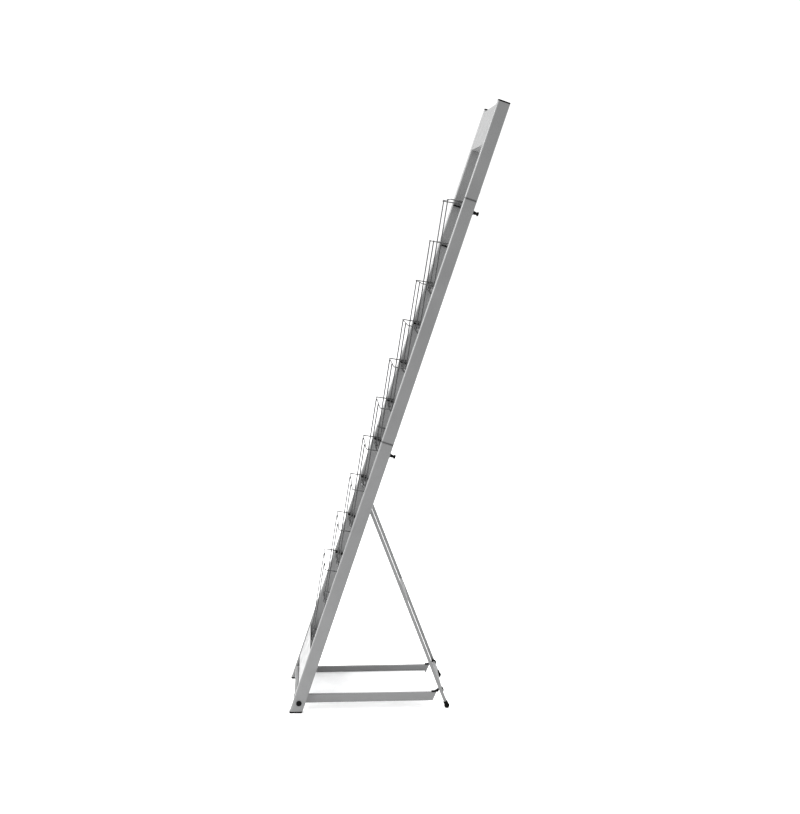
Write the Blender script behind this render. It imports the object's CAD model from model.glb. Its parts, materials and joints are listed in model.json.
"""Looks of the leaning brochure rack: materials, bent pocket wires, studio and camera."""

import json
import math

import bpy
from mathutils import Matrix, Vector


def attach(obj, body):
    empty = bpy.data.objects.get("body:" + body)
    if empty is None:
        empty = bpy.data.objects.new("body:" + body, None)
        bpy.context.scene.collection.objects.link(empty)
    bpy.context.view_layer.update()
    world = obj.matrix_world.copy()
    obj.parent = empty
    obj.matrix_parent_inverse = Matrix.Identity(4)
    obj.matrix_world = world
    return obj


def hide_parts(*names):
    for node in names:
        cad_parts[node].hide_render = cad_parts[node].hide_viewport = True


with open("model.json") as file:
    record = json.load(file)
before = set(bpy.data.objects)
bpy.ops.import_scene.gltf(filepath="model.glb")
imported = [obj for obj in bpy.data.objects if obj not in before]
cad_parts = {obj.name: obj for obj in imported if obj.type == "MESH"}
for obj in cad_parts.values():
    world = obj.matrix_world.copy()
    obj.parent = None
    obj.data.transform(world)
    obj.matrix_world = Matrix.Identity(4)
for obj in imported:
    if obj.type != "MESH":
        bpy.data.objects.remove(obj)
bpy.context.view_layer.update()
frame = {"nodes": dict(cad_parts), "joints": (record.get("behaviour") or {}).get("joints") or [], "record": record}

# ---------- the rack's own directions, from its joints ----------

joints = {j["name"]: j for j in frame["joints"]}
ALONG = Vector(joints["middle_lift"]["axis"])  # up the rails
REAR = Vector((0, ALONG.z, -ALONG.y))  # out of the rails' rear faces
BASE_PIVOT = 0.030  # the base hinge's place along the rails
SEAMS = (0.7875, 1.468)  # places of the rails' seams along the rails
GROOVE = 0.0012  # width of the groove under each seam
FOOT = Vector(joints["base_fold"]["pos_m"]) - ALONG * BASE_PIVOT  # rails' centre line at the floor


def on_rack(x, y, along):
    """The world point at x across, y towards the rear faces and along up the rails."""
    return FOOT + Vector((x, 0, 0)) + REAR * y + ALONG * along


# ---------- materials ----------


def new_material(name):
    """An empty node material with a Principled shader on its output."""
    material = bpy.data.materials.new(name)
    material.use_nodes = True
    tree = material.node_tree
    shader = tree.nodes["Principled BSDF"]
    return material, tree, shader


def texture_place(tree, stretch=(1, 1, 1)):
    """Object coordinates in metres, stretched along the axes."""
    coordinates = tree.nodes.new("ShaderNodeTexCoord")
    mapping = tree.nodes.new("ShaderNodeMapping")
    mapping.inputs["Scale"].default_value = stretch
    tree.links.new(coordinates.outputs["Object"], mapping.inputs["Vector"])
    return mapping.outputs["Vector"]


NOISE_ROUGHNESS = 0.55


def noise(tree, place, scale, detail):
    """A noise texture; scale is in features per metre."""
    node = tree.nodes.new("ShaderNodeTexNoise")
    node.inputs["Scale"].default_value = scale
    node.inputs["Detail"].default_value = detail
    node.inputs["Roughness"].default_value = NOISE_ROUGHNESS
    tree.links.new(place, node.inputs["Vector"])
    return node.outputs["Fac"]


def ramp(tree, value, low, high, at=(0.35, 0.65)):
    """Maps a value to colours or greys between two stops."""
    node = tree.nodes.new("ShaderNodeValToRGB")
    first, last = node.color_ramp.elements
    first.position, last.position = at
    first.color, last.color = low, high
    tree.links.new(value, node.inputs["Fac"])
    return node.outputs["Color"]


def grey(v, tint=(1.0, 1.0, 1.0)):
    """An opaque grey, or that grey through a tint."""
    return (v * tint[0], v * tint[1], v * tint[2], 1.0)


def mix(tree, factor, a, b, mode="MIX"):
    """Mixes two colours by a socket or a number."""
    node = tree.nodes.new("ShaderNodeMix")
    node.data_type = "RGBA"
    node.blend_type = mode
    if isinstance(factor, float):
        node.inputs["Factor"].default_value = factor
    else:
        tree.links.new(factor, node.inputs["Factor"])
    tree.links.new(a, node.inputs["A"])
    tree.links.new(b, node.inputs["B"])
    return node.outputs["Result"]


def bump(tree, shader, height, strength, distance):
    """Lets a height texture stand out of the surface by distance, in metres."""
    node = tree.nodes.new("ShaderNodeBump")
    node.inputs["Strength"].default_value = strength
    node.inputs["Distance"].default_value = distance
    tree.links.new(height, node.inputs["Height"])
    tree.links.new(node.outputs["Normal"], shader.inputs["Normal"])


SEAM_SHADE = 0.12
SEAM_FADE = 1.4  # where the shade ends, in groove widths


def seam_lines(tree, colour):
    """Darkens the grooves at the rails' seams, where dust and shadow gather."""
    coordinates = tree.nodes.new("ShaderNodeTexCoord")
    along = tree.nodes.new("ShaderNodeVectorMath")
    along.operation = "DOT_PRODUCT"
    tree.links.new(coordinates.outputs["Object"], along.inputs[0])
    along.inputs[1].default_value = ALONG
    for seam in SEAMS:
        distance = tree.nodes.new("ShaderNodeMath")
        distance.operation = "SUBTRACT"
        tree.links.new(along.outputs["Value"], distance.inputs[0])
        distance.inputs[1].default_value = FOOT.dot(ALONG) + seam - GROOVE / 2
        size = tree.nodes.new("ShaderNodeMath")
        size.operation = "ABSOLUTE"
        tree.links.new(distance.outputs["Value"], size.inputs[0])
        shade = ramp(tree, size.outputs["Value"], grey(SEAM_SHADE), grey(1.0),
                     (GROOVE, GROOVE * SEAM_FADE))
        colour = mix(tree, 1.0, colour, shade, "MULTIPLY")
    return colour


PAINT_METALLIC = 0.15
RUB_STRETCH = (1, 1, 0.06)
# Features per metre of the paint's textures
PAINT_CLOUDS = 9.0
PAINT_FLECKS = 3200.0
PAINT_RUBS = 260.0
PAINT_SHEEN = 40.0
ORANGE_PEEL = 900.0


def paint(name, tone, tint=(1.0, 1.0, 1.0), seams=False):
    """Powder coat: fine orange peel, faint cloudiness, metallic flecks and light rub marks."""
    material, tree, shader = new_material(name)
    place = texture_place(tree)
    clouds = noise(tree, place, PAINT_CLOUDS, 5.0)
    colour = ramp(tree, clouds, grey(tone * 0.94, tint), grey(tone * 1.05, tint))
    flecks = noise(tree, place, PAINT_FLECKS, 1.0)
    fleck_colour = ramp(tree, flecks, grey(0.93), grey(1.0), (0.40, 0.60))
    colour = mix(tree, 1.0, colour, fleck_colour, "MULTIPLY")
    rubbed = noise(tree, texture_place(tree, RUB_STRETCH), PAINT_RUBS, 3.0)
    marks = ramp(tree, rubbed, grey(1.0), grey(1.06), (0.68, 0.76))
    colour = mix(tree, 1.0, colour, marks, "MULTIPLY")
    if seams:
        colour = seam_lines(tree, colour)
    tree.links.new(colour, shader.inputs["Base Color"])
    gloss = ramp(tree, noise(tree, place, PAINT_SHEEN, 6.0), grey(0.34), grey(0.46))
    tree.links.new(gloss, shader.inputs["Roughness"])
    shader.inputs["Metallic"].default_value = PAINT_METALLIC
    bump(tree, shader, noise(tree, place, ORANGE_PEEL, 2.0), 0.10, 0.0003)
    return material


STREAK_STRETCH = (1, 1, 0.05)
# Features per metre of the plating's textures
PLATING_CLOUDS = 60.0
DRAWN_STREAKS = 1500.0


def plated(name, tone, tint, low_gloss, high_gloss):
    """Bright plating with slight clouding and fine drawn streaks."""
    material, tree, shader = new_material(name)
    place = texture_place(tree)
    clouds = noise(tree, place, PLATING_CLOUDS, 4.0)
    colour = ramp(tree, clouds, grey(tone * 0.88, tint), grey(tone * 1.10, tint))
    tree.links.new(colour, shader.inputs["Base Color"])
    streaks = noise(tree, texture_place(tree, STREAK_STRETCH), DRAWN_STREAKS, 2.0)
    gloss = ramp(tree, streaks, grey(low_gloss), grey(high_gloss))
    tree.links.new(gloss, shader.inputs["Roughness"])
    shader.inputs["Metallic"].default_value = 1.0
    bump(tree, shader, streaks, 0.06, 0.0001)
    return material


BLACK_SPECULAR = 0.05
# Features per metre of the black parts' textures
DUST = 120.0
BLACK_SHEEN = 300.0


def black_part(name, tone, low_gloss, high_gloss, grain, grain_strength):
    """Black plastic, rubber or paint with a fine grain and a little dust."""
    material, tree, shader = new_material(name)
    place = texture_place(tree)
    dust = noise(tree, place, DUST, 6.0)
    colour = ramp(tree, dust, grey(tone), grey(tone * 2.0), (0.45, 0.80))
    tree.links.new(colour, shader.inputs["Base Color"])
    sheen = noise(tree, place, BLACK_SHEEN, 3.0)
    gloss = ramp(tree, sheen, grey(low_gloss), grey(high_gloss))
    tree.links.new(gloss, shader.inputs["Roughness"])
    shader.inputs["Specular IOR Level"].default_value = BLACK_SPECULAR
    bump(tree, shader, noise(tree, place, grain, 2.0), grain_strength, 0.0002)
    return material


MATERIALS = {
    "grey_paint": paint("grey_paint", 0.158, (0.985, 0.995, 1.0), True),
    "pale_paint": paint("pale_paint", 0.150, (0.99, 0.995, 1.0)),
    "wire": plated("wire", 0.06, (0.98, 0.99, 1.0), 0.22, 0.34),
    "zinc": plated("zinc", 0.40, (0.97, 0.98, 1.0), 0.28, 0.42),
    "black_plastic": black_part("black_plastic", 0.002, 0.38, 0.55, 2600.0, 0.20),
    "black_paint": black_part("black_paint", 0.002, 0.28, 0.42, 1100.0, 0.12),
    "black_rubber": black_part("black_rubber", 0.002, 0.62, 0.80, 1800.0, 0.30),
}

PLATE_MATERIAL = paint("plate_paint", 0.80, (0.99, 0.995, 1.0))
PLATE_NODES = ("base_plate", "base_rear_member")

slot_of = {s["node"]: s["material_slot"] for s in frame["record"]["subparts"]}

# ---------- CAD nodes: finishes and softened edges ----------

SHEET_EDGE = 0.0003
FLAT_HEAD_EDGE = 0.0004
SMALL_EDGE = 0.0005
CAP_EDGE = 0.0006
ROUND_HEAD_EDGE = 0.0008
EDGE_WIDTHS = {
    "header_panel": SHEET_EDGE, "lower_panel": SHEET_EDGE, "base_plate": SHEET_EDGE,
    "pocket_clips_middle": SMALL_EDGE, "pocket_clips_lower": SMALL_EDGE,
    "lower_panel_rivets": ROUND_HEAD_EDGE, "header_rivets": ROUND_HEAD_EDGE,
    "middle_rivets": FLAT_HEAD_EDGE, "upper_rivets": FLAT_HEAD_EDGE,
    "base_hook_screws": SMALL_EDGE, "base_hook_left": SMALL_EDGE, "base_hook_right": SMALL_EDGE,
    "prop_bolts": ROUND_HEAD_EDGE, "prop_washers": SHEET_EDGE, "hinge_covers": CAP_EDGE,
    "top_cap_left": CAP_EDGE, "top_cap_right": CAP_EDGE,
    "foot_pad_left": SMALL_EDGE, "foot_pad_right": SMALL_EDGE,
}

WELD_WITHIN = 0.000002
FLAT_WITHIN = math.radians(0.5)
SHARP_FROM = math.radians(40)


def soften(obj, width):
    """Welds the node's split corners and rounds its sharp edges by width."""
    weld = obj.modifiers.new("weld", "WELD")
    weld.merge_threshold = WELD_WITHIN
    flat = obj.modifiers.new("flat", "DECIMATE")
    flat.decimate_type = "DISSOLVE"
    flat.angle_limit = FLAT_WITHIN
    bevel = obj.modifiers.new("edges", "BEVEL")
    bevel.width = width
    bevel.segments = 2
    bevel.limit_method = "ANGLE"
    bevel.angle_limit = SHARP_FROM
    bevel.harden_normals = True


for name, node in frame["nodes"].items():
    node.data.materials.clear()
    finish = PLATE_MATERIAL if name in PLATE_NODES else MATERIALS[slot_of[name]]
    node.data.materials.append(finish)
    if name in EDGE_WIDTHS:
        soften(node, EDGE_WIDTHS[name])

# ---------- pockets: bent and welded wire ----------

WIRE_R = 0.0016
TOP_RIM = 1.453  # place of the top pocket's rim along the rails
PITCH = 0.117
POCKETS = 10
HALF_W = 0.115
RIM_X = 0.1195
UPRIGHT_X = HALF_W / 2
FRONT = -0.047
TILT = math.tan(math.radians(9.2))  # slope of the front against the rails
BEND_H = 0.249  # from the rim down to the bend under the front
FLOOR_H = 0.257  # from the rim down to the floor wires
LIP_H = 0.235  # from the rim down to the top of the rear lip
CHAMFER = 0.012
BACK = 0.0125
HOOK_X = 0.129
HOOK_Y = 0.002
HOOK_RISE = 0.0085
SEAT = 0.0034  # height of a hook's wire on its clip
BEND_R = 0.004
CROSSING = 1.9 * WIRE_R  # between the centres of two welded wires
LOW_WIRE_H = BEND_H - 4.5 * WIRE_R
STRAIGHT = 0.02  # turns below this angle stay as they are
BEND_ROOM = 0.49  # share of a straight that one bend may use


def rounded(points, radius, steps=5):
    """The path with each inner corner turned into an arc of that radius, or as large as fits."""
    path = [points[0]]
    for before, corner, after in zip(points, points[1:], points[2:]):
        into = (corner - before).normalized()
        out = (after - corner).normalized()
        turn = into.angle(out)
        if turn < STRAIGHT:
            path.append(corner)
            continue
        room = min((corner - before).length, (after - corner).length) * BEND_ROOM
        trim = min(radius * math.tan(turn / 2), room)
        arc_r = trim / math.tan(turn / 2)
        centre = corner + (out - into).normalized() * (arc_r / math.cos(turn / 2))
        start = corner - into * trim - centre
        axis = into.cross(out).normalized()
        for i in range(steps + 1):
            path.append(centre + Matrix.Rotation(turn * i / steps, 3, axis) @ start)
    path.append(points[-1])
    return path


def wire_piece(name, paths):
    """One object of round wires along the given paths, each with closed ends."""
    curve = bpy.data.curves.new(name, "CURVE")
    curve.dimensions = "3D"
    curve.bevel_depth = WIRE_R
    curve.bevel_resolution = 3
    curve.use_fill_caps = True
    for path in paths:
        spline = curve.splines.new("POLY")
        spline.points.add(len(path) - 1)
        for point, place in zip(spline.points, path):
            point.co = (*place, 1.0)
        spline.use_smooth = True
    obj = bpy.data.objects.new(name, curve)
    bpy.context.scene.collection.objects.link(obj)
    return obj


def front_y(down):
    """Where the pocket's front stands, at that distance below its rim."""
    return FRONT + down * TILT


def pocket_paths(rim):
    """The wires of one pocket whose rim is at that place along the rails."""
    def at(x, y, up):
        return on_rack(x, y, rim + up)

    rim_wire = [
        at(-HOOK_X, HOOK_Y, SEAT), at(-RIM_X, HOOK_Y, SEAT), at(-RIM_X, HOOK_Y, HOOK_RISE),
        at(-RIM_X, FRONT, 0), at(RIM_X, FRONT, 0),
        at(RIM_X, HOOK_Y, HOOK_RISE), at(RIM_X, HOOK_Y, SEAT), at(HOOK_X, HOOK_Y, SEAT),
    ]
    paths = [rounded(rim_wire, BEND_R)]
    for side in (-1, 1):
        x = side * UPRIGHT_X
        upright = [
            at(x, FRONT - CROSSING, WIRE_R), at(x, front_y(BEND_H), -BEND_H),
            at(x, front_y(BEND_H) + CHAMFER, -FLOOR_H), at(x, BACK, -FLOOR_H),
            at(x, BACK, -LIP_H),
        ]
        x = side * HALF_W
        end_loop = [
            at(x, BACK, -LIP_H), at(x, front_y(LIP_H), -LIP_H), at(x, front_y(BEND_H), -BEND_H),
            at(x, front_y(BEND_H) + CHAMFER, -FLOOR_H), at(x, BACK, -FLOOR_H),
            at(x, BACK, -LIP_H),
        ]
        paths.append(rounded(upright, BEND_R))
        paths.append(rounded(end_loop, BEND_R))
    for y, up in (
        (front_y(LOW_WIRE_H) + CROSSING, -LOW_WIRE_H), (BACK - CROSSING, -FLOOR_H + CROSSING),
        (BACK, -LIP_H),
    ):
        paths.append([at(-HALF_W, y, up), at(HALF_W, y, up)])
    return paths


bodies = {n: b for b, ns in frame["record"]["behaviour"]["bodies"].items() for n in ns}
for k in range(POCKETS):
    node_name = f"pocket_{k + 1:02d}"
    piece = wire_piece(f"bent_{node_name}", pocket_paths(TOP_RIM - k * PITCH))
    piece.data.materials.append(MATERIALS["wire"])
    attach(piece, bodies[node_name])
    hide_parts(node_name)

# ---------- studio ----------

FLOOR_RADIUS = 30
FLOOR_ROUGHNESS = 0.9
FLOOR_GLOW = 0.35  # keeps the floor pale under the rack
SKY_STRENGTH = 1.15
WHITE = (1.0, 1.0, 1.0, 1.0)

floor_material, floor_tree, floor_shader = new_material("studio_floor")
floor_place = texture_place(floor_tree)
floor_clouds = noise(floor_tree, floor_place, 3.0, 4.0)
floor_tone = ramp(floor_tree, floor_clouds, grey(0.88), grey(0.90))
floor_tree.links.new(floor_tone, floor_shader.inputs["Base Color"])
floor_shader.inputs["Roughness"].default_value = FLOOR_ROUGHNESS
floor_shader.inputs["Emission Color"].default_value = WHITE
floor_shader.inputs["Emission Strength"].default_value = FLOOR_GLOW
bpy.ops.mesh.primitive_circle_add(
    vertices=96, radius=FLOOR_RADIUS, fill_type="NGON", location=(0, 0, 0))
floor = bpy.context.object
floor.name = "studio_floor"
floor.data.materials.append(floor_material)

world = bpy.data.worlds.new("studio")
world.use_nodes = True
world.node_tree.nodes["Background"].inputs["Color"].default_value = WHITE
world.node_tree.nodes["Background"].inputs["Strength"].default_value = SKY_STRENGTH
bpy.context.scene.world = world


def soft_light(name, place, target, size, power):
    """A square area light that faces the target."""
    light = bpy.data.lights.new(name, "AREA")
    light.shape = "SQUARE"
    light.size = size
    light.energy = power
    obj = bpy.data.objects.new(name, light)
    obj.location = place
    obj.rotation_euler = (Vector(target) - Vector(place)).to_track_quat("-Z", "Y").to_euler()
    bpy.context.scene.collection.objects.link(obj)


LIGHT_SIZE = 2.4
soft_light("key", (-0.8, -3.2, 2.6), target=(0, 0, 0.8), size=LIGHT_SIZE, power=190)
soft_light("top", (-0.6, 0.2, 4.2), target=(0, 0, 0), size=LIGHT_SIZE, power=150)

# ---------- camera ----------

CAMERA_X = 3.636
CAMERA_BEHIND_FEET = 0.067  # how far behind the rails' feet the camera stands
CAMERA_Z = 1.318
YAW = math.radians(3.56)
PITCH_DOWN = math.radians(7.72)
ROLL = math.radians(0.18)
LENS = 58.55
SENSOR_WIDTH = 36

camera_data = bpy.data.cameras.new("camera")
camera_data.lens = LENS
camera_data.sensor_width = SENSOR_WIDTH
camera = bpy.data.objects.new("camera", camera_data)
bpy.context.scene.collection.objects.link(camera)
forward = Vector((
    -math.cos(YAW) * math.cos(PITCH_DOWN), math.sin(YAW) * math.cos(PITCH_DOWN),
    -math.sin(PITCH_DOWN),
))
across = forward.cross(Vector((0, 0, 1))).normalized()
upward = across.cross(forward)
tilted_across = across * math.cos(ROLL) + upward * math.sin(ROLL)
tilted_up = upward * math.cos(ROLL) - across * math.sin(ROLL)
turn = Matrix((tilted_across, tilted_up, -forward)).transposed()
camera.matrix_world = Matrix.Translation(
    (CAMERA_X, FOOT.y + CAMERA_BEHIND_FEET, CAMERA_Z)) @ turn.to_4x4()
bpy.context.scene.camera = camera
bpy.context.scene.view_settings.view_transform = "Standard"
